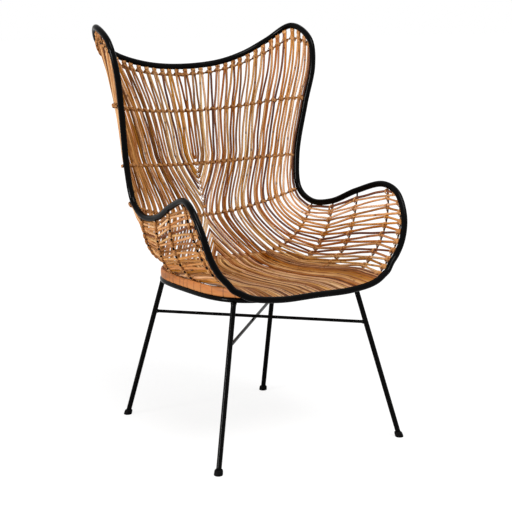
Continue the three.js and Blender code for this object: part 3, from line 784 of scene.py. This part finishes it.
class CANECHAIR_OT_band(PieceOperator, bpy.types.Operator):
    """Make the bent cane band between the ring and the seat"""

    bl_idname = "cane_chair.band"
    bl_label = "Seat band"

    def lid(self, line):
        """Height of the shell over each point of the band's line, from the nearest point of a grid on it."""
        u, v = np.meshgrid(np.linspace(0.42, 1, 240), np.linspace(0, 1, 120), indexing="ij")
        shell = shell_at(u, v).reshape(-1, 3)
        x, y = np.abs(line[::BAND_SKIP, :1]), line[::BAND_SKIP, 1:2]
        heights = shell[np.argmin(np.hypot(shell[:, 0] - x, shell[:, 1] - y), axis=1), 2]
        marks = np.arange(0, BAND_STEPS + BAND_SKIP, BAND_SKIP)
        return np.interp(np.arange(BAND_STEPS), marks, np.r_[heights, heights[0]])

    def execute(self, context):
        """A squared oval swept round the ring, its top held under the canes, with shallow cuts across it:
        bell curves at uneven distances that take a share of its width and height."""
        line = even_ring(BAND_STEPS)
        bottom = RING_HEIGHT + 0.5 * self.sizes.ring_diameter - BAND_SINK
        top = self.lid(line) - 0.5 * self.cane.cane_diameter - self.sizes.rod_diameter - BAND_GAP
        height = 0.5 * (np.clip(top, bottom + BAND_LEAST, bottom + self.cane.band_height) - bottom)
        chance = np.random.default_rng(self.cane.seed)
        length = np.linalg.norm(line[1] - line[0]) * BAND_STEPS
        cuts = np.cumsum(chance.uniform(*CUT_APART, 100))
        place = np.arange(BAND_STEPS) * length / BAND_STEPS
        cut = bell(np.min(np.abs(place[:, None] - cuts[cuts < length - CUT_MARGIN]), axis=1), CUT_WIDTH)
        shape = oval_profile(0.5 * self.cane.band_thickness, 1.0, 20, 3.2)
        shape = shape[None] * np.stack([1 - CUT_IN * cut, height * (1 - CUT_DOWN * cut)], -1)[:, None]
        line[:, 2] = bottom + height
        # The groove kept on the band tells its skin where to paint shade into the cuts
        Surface().sweep(line, (0, 0, 1), shape, closed=True, groove=cut).piece(
            "bent_band", "bent_pole_skin", "bent_cane", ("seat_band",))
        return {"FINISHED"}


class CANECHAIR_OT_rods(PieceOperator, bpy.types.Operator):
    """Make the nine black rods that cross behind the canes"""

    bl_idname = "cane_chair.rods"
    bl_label = "Cross rods"

    def execute(self, context):
        """A circle swept across the shell from hoop to hoop, outside the canes."""
        shape = round_profile(0.5 * self.sizes.rod_diameter, 14)
        for number, u in enumerate(ROWS, 1):
            point, inward, _ = shell_frame(u, np.linspace(-EDGE, EDGE, 181))
            Surface().sweep(point - self.rod_depth() * inward, inward, shape).piece(
                f"rod_{number}", "black_lacquer", "black_metal", (f"cross_rod_{number}",))
        return {"FINISHED"}


class CaneOperator(PieceOperator):
    """What the operators that make canes share."""

    def paths(self, place_at, ties, straight, start, end, side, steps, chance):
        """Lines of canes down the shell from start to end, each straying a little as a sum of slow waves
        and drawn straight by a share of its own between the rods named in ties."""
        u = start[:, None] + (end - start)[:, None] * np.linspace(0, 1, steps)
        place, ties, count = place_at(u), np.array(ties), len(start)
        free = np.clip(np.min(np.abs(u[..., None] - ROWS), axis=-1) / HELD_SPAN, HELD, 1)
        stray = []
        for _ in range(2):
            wave = chance.uniform(0.6, 1.4, (count, 3)) * STRAY_WAVES
            phase = chance.uniform(0, 2 * np.pi, (count, 3))
            stray.append(free * np.sin(wave[:, None] * u[..., None] + phase[:, None]).sum(-1) / 1.8)
        whole = shell_at(u, np.clip(place, 0, EDGE))
        place = np.clip(place + self.cane.wander * stray[0] / row_length(u), 0, EDGE)
        point, inward, _ = shell_frame(u, place)
        tied = shell_at(ties, np.clip(place_at(ties), 0, EDGE))
        i = np.clip(np.searchsorted(ties, u) - 1, 0, len(ties) - 2)
        part = ((u - ties[i]) / (ties[i + 1] - ties[i]))[..., None]
        row = np.arange(count)[:, None]
        chord = (1 - part) * tied[row, i] + part * tied[row, i + 1]
        drawn = np.where((u > ties[0]) & (u < ties[-1]), np.reshape(straight, (-1, 1)), 0.0)[..., None]
        point = point + drawn * (chord - whole)
        point = point + STRAY_INWARD * self.cane.wander * stray[1][..., None] * inward
        mirror = np.array((side, 1, 1))
        return point * mirror, inward * mirror

    def lay(self, made, place, span, side, scale, chances, straight=SEAT_STRAIGHT, ties=ROWS[5:], sides=12,
            variety=0.26, end_plane=None):
        """Sweeps a circle along each cane's line on one side of the chair. Its radius is a size of the
        cane's own, slightly tapered, times scale; its shade is mostly tan or brown. The three chances are
        for the lines, the radii and the shades."""
        count, steps = len(span[0]), scale.shape[-1]
        path, inward = self.paths(place, ties, straight, *span, side, steps, chances[0])
        own = chances[1].normal(*OWN_SIZE, (count, 1))
        taper = chances[1].uniform(-TAPER, TAPER, (count, 1)) * np.linspace(-1, 1, steps)
        radius = 0.5 * self.cane.cane_diameter * np.clip(own + taper, *SIZE_LIMITS) * scale
        shade = np.clip(chances[2].normal(0.5, variety, count), 0.0, 1.0)
        made.sweep(path, inward, round_profile(radius, sides), tint=shade,
                   offset=chances[2].uniform(0, GRAIN_SPAN, count), end_plane=end_plane)

    def lines(self, place, canes):
        """Where the given canes lie across the shell, as a function of how far down it."""
        return lambda u: place(canes[:, None], u, self.cane.cane_spacing)

    def ends(self, place):
        """Where canes start and end, a little inside the hoop's tube."""
        return hoop_ends(place, 0.5 * self.sizes.hoop_diameter - END_INSIDE)

    def thinning(self, canes, start, end, steps):
        """How canes thin out over the seat; those of the arms keep their size."""
        u = start[:, None] + (end - start)[:, None] * np.linspace(0, 1, steps)
        return np.where(canes[:, None] <= 2 * SEAT_PAIRS, 1 - SEAT_THINNING * seat_turn(u), 1.0)

    def chance(self, number):
        """A source of chance of its own for each use."""
        return np.random.default_rng(self.cane.seed + number)

    def pair_width(self):
        """Half of the width across the two canes of a pair."""
        return 0.5 * (self.cane.cane_spacing + self.cane.cane_diameter)


class CANECHAIR_OT_canes(CaneOperator, bpy.types.Operator):
    """Make the long canes from the top edge down the back and over the seat or arm to the front"""

    bl_idname = "cane_chair.canes"
    bl_label = "Long canes"

    def execute(self, context):
        """A circle swept along each cane's line, both ends inside the hoop's tube."""
        canes = np.arange(2 * CLOSED_PAIRS, 2 * PAIRS)
        place = self.lines(cane_place, canes)
        span = self.ends(place)
        straight = np.interp(canes, ARM_CANES, (SEAT_STRAIGHT, ARM_STRAIGHT))
        thin = self.thinning(canes, *span, LONG_STEPS)
        for name, side in SIDES.items():
            made, chance = Surface(), self.chance(int(side > 0))
            self.lay(made, place, span, side, thin, [chance] * 3, straight, ROWS[4:])
            nodes = [f"cane_{name}_{number:02d}" for number in range(1, PAIRS - CLOSED_PAIRS + 1)]
            made.piece("canes_" + name, "peeled_cane", "cane", nodes)
        return {"FINISHED"}


class CANECHAIR_OT_back_vee(CaneOperator, bpy.types.Operator):
    """Make the canes that close in a V on the back"""

    bl_idname = "cane_chair.back_vee"
    bl_label = "Back V"

    def execute(self, context):
        """A circle swept along each cane down to the middle of the back, with rounded ends there."""
        place = self.lines(cane_place, np.arange(2 * CLOSED_PAIRS))
        start, _ = self.ends(place)
        u = np.linspace(*BACK_VEE_SPAN, 271)
        end = first_past(u, 0.25 * self.cane.cane_diameter - place(u) * row_length(u))
        rounded = rounded_end(np.linspace(SHORT_STEPS, 0, SHORT_STEPS))
        made, chance = Surface(), self.chance(11)
        for side in SIDES.values():
            self.lay(made, place, (start, end), side, rounded, [chance] * 3)
        nodes = [f"cane_back_vee_{number}" for number in range(1, CLOSED_PAIRS + 1)]
        made.piece("back_vee", "peeled_cane", "cane", nodes)
        return {"FINISHED"}


class CANECHAIR_OT_seat_vee(CaneOperator, bpy.types.Operator):
    """Make the canes that open as nested chevrons on the seat"""

    bl_idname = "cane_chair.seat_vee"
    bl_label = "Seat chevrons"

    def execute(self, context):
        """A circle swept along each cane from the middle of the seat to the front, mitred on the middle,
        with the same chance on both sides."""
        canes = np.arange(2 * CLOSED_PAIRS)
        place = self.lines(cane_place, canes)
        _, end = self.ends(place)
        u = np.linspace(*SEAT_VEE_SPAN, 271)
        start = first_past(u, place(u) * row_length(u) - MITRE_GAP)
        thin = self.thinning(canes, start, end, SHORT_STEPS)
        made = Surface()
        for side in SIDES.values():
            chances = [self.chance(number) for number in (29, 31, 23)]
            self.lay(made, place, (start, end), side, thin, chances, end_plane=0.0)
        nodes = [f"cane_seat_vee_{number}" for number in range(1, CLOSED_PAIRS + 1)]
        made.piece("seat_vee", "peeled_cane", "cane", nodes)
        return {"FINISHED"}


class CANECHAIR_OT_fillers(CaneOperator, bpy.types.Operator):
    """Make the short canes that fill the seat between the pairs"""

    bl_idname = "cane_chair.fillers"
    bl_label = "Seat filling canes"

    def execute(self, context):
        """A circle swept along each cane to the front with a rounded rear end: of those between two pairs,
        the inner ones start at the fifth rod and the outer two at the sixth."""
        canes = np.arange(FILLERS * SEAT_PAIRS + MIDDLE_FILLERS)
        place = self.lines(filler_place, canes)
        _, end = self.ends(place)
        order = (canes - MIDDLE_FILLERS) % FILLERS
        inner = (order > 0) & (order < FILLERS - 1)
        rear = np.where(inner, SEAT_START, SEAT_FULL) + FIRST_FILLER_LATE * (canes == 0)
        scale = (1 - SEAT_THINNING) * rounded_end(np.arange(FILLER_STEPS))
        made, chance = Surface(), self.chance(61)
        for side in SIDES.values():
            start = rear - chance.uniform(*FILLER_PAST, len(canes))
            self.lay(made, place, (start, end), side, scale, [chance] * 3, sides=10, variety=0.38)
        made.piece("seat_fillers", "peeled_cane", "cane")
        return {"FINISHED"}


class CANECHAIR_OT_lashings(CaneOperator, bpy.types.Operator):
    """Make the split cane that lashes the canes to the rods"""

    bl_idname = "cane_chair.lashings"
    bl_label = "Lashings"

    def crossings(self, number, u):
        """Places along a row, across the whole chair, at which canes cross the rod."""
        swapped = number in SWAPPED_ROWS
        k = np.r_[np.arange(0.5, PAIRS - 1), LAST_CROSSING] if swapped else np.arange(PAIRS)
        if swapped and u > SEAT_START:
            k = np.r_[np.arange(SEAT_PAIRS), k[k > SEAT_PAIRS]]
        place = pair_place(k, u)
        place = place[place * row_length(u) > MIDDLE_CLEAR]
        room = swapped or place[0] * row_length(u) > MIDDLE_ROOM
        middle = [0.0] if u <= SEAT_START and room else []
        return np.r_[-place[::-1], middle, place]

    def strands(self, u, cross):
        """The crossings that each strand of a row lashes: all of them, or beside the dense seat those of
        each arm."""
        if u < SEAT_FULL:
            return [cross]
        edge = pair_place(SEAT_PAIRS - 0.25, u)
        return [cross[cross < -edge], cross[cross > edge]]

    def execute(self, context):
        """A circle swept along a strand that takes three and a half slanting turns about each crossing,
        over the canes and under the rod, and goes on over the rod to the next, and a rippled sleeve of
        strand on the rod behind each crossing, narrower than the rod between them."""
        thick = self.cane.strand_diameter
        above = 0.5 * (self.cane.cane_diameter + thick) - LASH_BITE
        below = LASH_BITE - self.rod_depth() - 0.5 * (self.sizes.rod_diameter + thick)
        turn = np.pi * (1 - LASH_HALF_TURNS * np.linspace(0, 1, LASH_STEPS))
        across, through = [squared(f(turn), LASH_POWER) for f in (np.cos, np.sin)]
        wide = self.pair_width() + LASH_PLAY
        lift = 0.5 * (above + below) + 0.5 * (above - below) * through
        slant = LASH_SLANT * np.cos(turn) + LASH_SPREAD * thick * np.linspace(-1, 1, LASH_STEPS)
        chance = self.chance(41)
        shape = round_profile(0.5 * thick, 6)
        ripple = SLEEVE_THICK + SLEEVE_RIPPLE * np.cos(np.arange(SLEEVE_RINGS) * np.pi / 2)
        sleeve = 0.5 * self.sizes.rod_diameter + np.r_[SLEEVE_END, ripple, SLEEVE_END]
        for number, u in enumerate(ROWS):
            cross = self.crossings(number, u)
            made = Surface()
            for lashed in self.strands(u, cross):
                uneven = chance.normal(0, LASH_UNEVEN, (len(lashed), 1))
                v = np.clip(lashed[:, None] + wide * across / row_length(u), -LASH_EDGE, LASH_EDGE).ravel()
                point, inward, down = shell_frame(u + ((slant + uneven) / SHELL_LENGTH).ravel(), v)
                height = np.tile(lift, len(lashed))[:, None]
                made.sweep(point + height * inward, down, shape, offset=chance.uniform(0, GRAIN_SPAN))
            seated = (u > SEAT_START) & (np.abs(cross) < pair_place(SEAT_PAIRS, u))
            reach = np.where(seated, 0.5 / (PAIRS + 0.5), (wide + SLEEVE_PAST) / row_length(u))
            v = cross[:, None] + np.linspace(-1, 1, len(sleeve)) * reach[:, None]
            point, inward, _ = shell_frame(u, np.clip(v, -LASH_EDGE, LASH_EDGE).ravel())
            made.sweep(point - self.rod_depth() * inward, inward,
                       round_profile(np.tile(sleeve, len(cross)), 10), offset=chance.uniform(0, GRAIN_SPAN))
            made.piece(f"lashing_{number + 1}", "split_cane", "cane")
        return {"FINISHED"}


class CANECHAIR_OT_ties(CaneOperator, bpy.types.Operator):
    """Make the ties round the ends of the pairs at the hoop and the lacing of the V"""

    bl_idname = "cane_chair.ties"
    bl_label = "End ties"

    def lacing(self, chance):
        """Two strands that swing to and fro across the middle of the V as sine waves, and an oval knot at
        the foot."""
        made, thick = Surface(), self.cane.strand_diameter
        u = np.linspace(*LACE_SPAN, 220)
        turn = np.pi * u * SHELL_LENGTH / LACE_PITCH
        for phase in (0, np.pi):
            point, inward, _ = shell_frame(u, LACE_SWING * np.sin(turn + phase) / row_length(u))
            lift = 0.5 * (self.cane.cane_diameter + thick) + LACE_LIFT * np.cos(2 * turn + phase)
            made.sweep(point + lift[:, None] * inward, inward, round_profile(0.5 * thick, 8),
                       offset=chance.uniform(0, GRAIN_SPAN))
        u = np.linspace(*KNOT_SPAN, len(KNOT_SWELL))
        point, inward, _ = shell_frame(u, 0 * u)
        knot = oval_profile(KNOT_WIDE, KNOT_HIGH, 14, 2.4)
        made.sweep(point, inward, knot * np.array(KNOT_SWELL)[:, None, None])
        made.piece("vee_lacing", "split_cane", "cane")

    def execute(self, context):
        """A squared oval swept a short way along each pair at both of its ends, and the lacing."""
        pairs = np.arange(PAIRS)
        chance = self.chance(53)
        depth = 0.5 * self.sizes.hoop_diameter + TIE_GAP
        top, front = hoop_ends(lambda u: pair_place(pairs[:, None], u), depth)
        shape = oval_profile(self.pair_width() + TIE_WIDE, 0.5 * self.cane.cane_diameter + TIE_HIGH, 12, 2.8)
        shape = np.array(TIE_SWELL)[:, None, None] * shape
        for name, start, way, first in (("top", top, 1, 0), ("front", front, -1, SEAT_PAIRS)):
            made = Surface()
            u = start[first:, None] + way * np.array(TIE_RINGS)
            point, inward, _ = shell_frame(u, pair_place(pairs[first:, None], u))
            for side in SIDES.values():
                mirror = np.array((side, 1, 1))
                made.sweep(point * mirror, inward * mirror, shape,
                           offset=chance.uniform(0, GRAIN_SPAN, len(u)))
            made.piece("end_ties_" + name, "split_cane", "cane")
        self.lacing(chance)
        return {"FINISHED"}


class CANECHAIR_OT_stage(PieceOperator, bpy.types.Operator):
    """Set the chair on a pale floor in soft light before the camera"""

    bl_idname = "cane_chair.stage"
    bl_label = "Stage"

    def floor(self):
        """A flat square that shows white where it is fully lit and keeps the chair's shadow."""
        half, glow_share, white = 30.0, 0.70, colour((1, 1, 1))
        mesh = bpy.data.meshes.new("floor")
        square = [(x * half, y * half, 0) for x, y in ((-1, -1), (1, -1), (1, 1), (-1, 1))]
        mesh.from_pydata(square, [], [(0, 1, 2, 3)])
        made = add("floor", mesh)
        paint = bpy.data.materials.new("pale_floor")
        paint.use_nodes = True
        tree = paint.node_tree
        skin = tree.nodes["Principled BSDF"]
        skin.inputs["Base Color"].default_value = colour((0.80, 0.80, 0.80))
        skin.inputs["Roughness"].default_value = 0.9
        skin.inputs["Specular IOR Level"].default_value = 0.0
        seen = node(tree, "ShaderNodeLightPath").outputs["Is Camera Ray"]
        glow = node(tree, "ShaderNodeEmission", {"Color": white, "Strength": 1.20})
        both = node(tree, "ShaderNodeMixShader", {
            0: spread(tree, seen, (0, 1), (0, glow_share)), 1: skin.outputs["BSDF"],
            2: glow.outputs["Emission"]})
        tree.links.new(both.outputs["Shader"], tree.nodes["Material Output"].inputs["Surface"])
        mesh.materials.append(paint)

    def surround(self):
        """A white surround that lights the chair evenly."""
        light_share = 0.27
        world = bpy.data.worlds.new("white_room")
        bpy.context.scene.world = world
        world.use_nodes = True
        tree = world.node_tree
        path = node(tree, "ShaderNodeLightPath")
        seen = sums(tree, "MAXIMUM", path.outputs["Is Camera Ray"], path.outputs["Is Transmission Ray"])
        seen = sums(tree, "MAXIMUM", seen, path.outputs["Is Glossy Ray"])
        sky = tree.nodes["Background"]
        sky.inputs["Color"].default_value = colour((1, 1, 1))
        tree.links.new(spread(tree, seen, (0, 1), (light_share, 1.0)), sky.inputs["Strength"])

    def lamp(self, name, aim, angle, strength):
        """A wide, even light that shines along a direction."""
        light = bpy.data.lights.new(name, "SUN")
        light.energy, light.angle = strength, math.radians(angle)
        add(name, light).rotation_euler = Vector(aim).to_track_quat("-Z", "Y").to_euler()

    def camera(self):
        """The camera at the photograph's viewing angle."""
        made = add("camera", bpy.data.cameras.new("camera"))
        made.data.lens = LENS
        made.location = CAMERA_PLACE
        made.rotation_euler = [math.radians(angle) for angle in CAMERA_TURN]
        bpy.context.scene.camera = made

    def execute(self, context):
        """Floor, surround, lamps and camera."""
        self.floor()
        self.surround()
        self.lamp("key", aim=(1.0, 0.06, -0.14), angle=16.0, strength=3.0)
        self.lamp("front", aim=(0.05, 0.6, -1.0), angle=30.0, strength=2.5)
        self.camera()
        bpy.context.scene.view_settings.view_transform = "Standard"
        return {"FINISHED"}


class CANECHAIR_PT_panel(bpy.types.Panel):
    """Lists the chair's pieces, sizes and colours"""

    bl_idname = "CANECHAIR_PT_panel"
    bl_label = "Cane Wing Chair"
    bl_space_type = "VIEW_3D"
    bl_region_type = "UI"
    bl_category = "Cane Chair"

    def draw(self, context):
        """One button a piece, then every size and colour."""
        for piece in PIECES:
            self.layout.operator(piece.bl_idname)
        for key, group in GROUPS.items():
            box = self.layout.box()
            for label in group.__annotations__:
                box.prop(getattr(context.scene, key), label)


PIECES = (
    CANECHAIR_OT_hoop, CANECHAIR_OT_ring, CANECHAIR_OT_legs, CANECHAIR_OT_feet, CANECHAIR_OT_stretchers,
    CANECHAIR_OT_band, CANECHAIR_OT_rods, CANECHAIR_OT_canes, CANECHAIR_OT_back_vee,
    CANECHAIR_OT_seat_vee, CANECHAIR_OT_fillers, CANECHAIR_OT_lashings, CANECHAIR_OT_ties,
    CANECHAIR_OT_stage)
GROUPS = {
    "cane_chair_frame": CaneChairFrame,
    "cane_chair_cane": CaneChairCane,
    "cane_chair_finish": CaneChairFinish,
}


def register():
    """Registers every class and hangs the settings on the scene."""
    for made in (*GROUPS.values(), *PIECES, CANECHAIR_PT_panel):
        bpy.utils.register_class(made)
    for key, group in GROUPS.items():
        setattr(bpy.types.Scene, key, bpy.props.PointerProperty(type=group))


def unregister():
    """Takes the settings and classes away again."""
    for key in GROUPS:
        delattr(bpy.types.Scene, key)
    for made in reversed((*GROUPS.values(), *PIECES, CANECHAIR_PT_panel)):
        bpy.utils.unregister_class(made)


def main():
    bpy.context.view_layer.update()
    register()
    for piece in PIECES:
        group, name = piece.bl_idname.split(".")
        if getattr(getattr(bpy.ops, group), name)() != {"FINISHED"}:
            raise RuntimeError(f"{piece.bl_label} could not be made")
    bpy.context.view_layer.update()


if __name__ == "__main__":
    main()
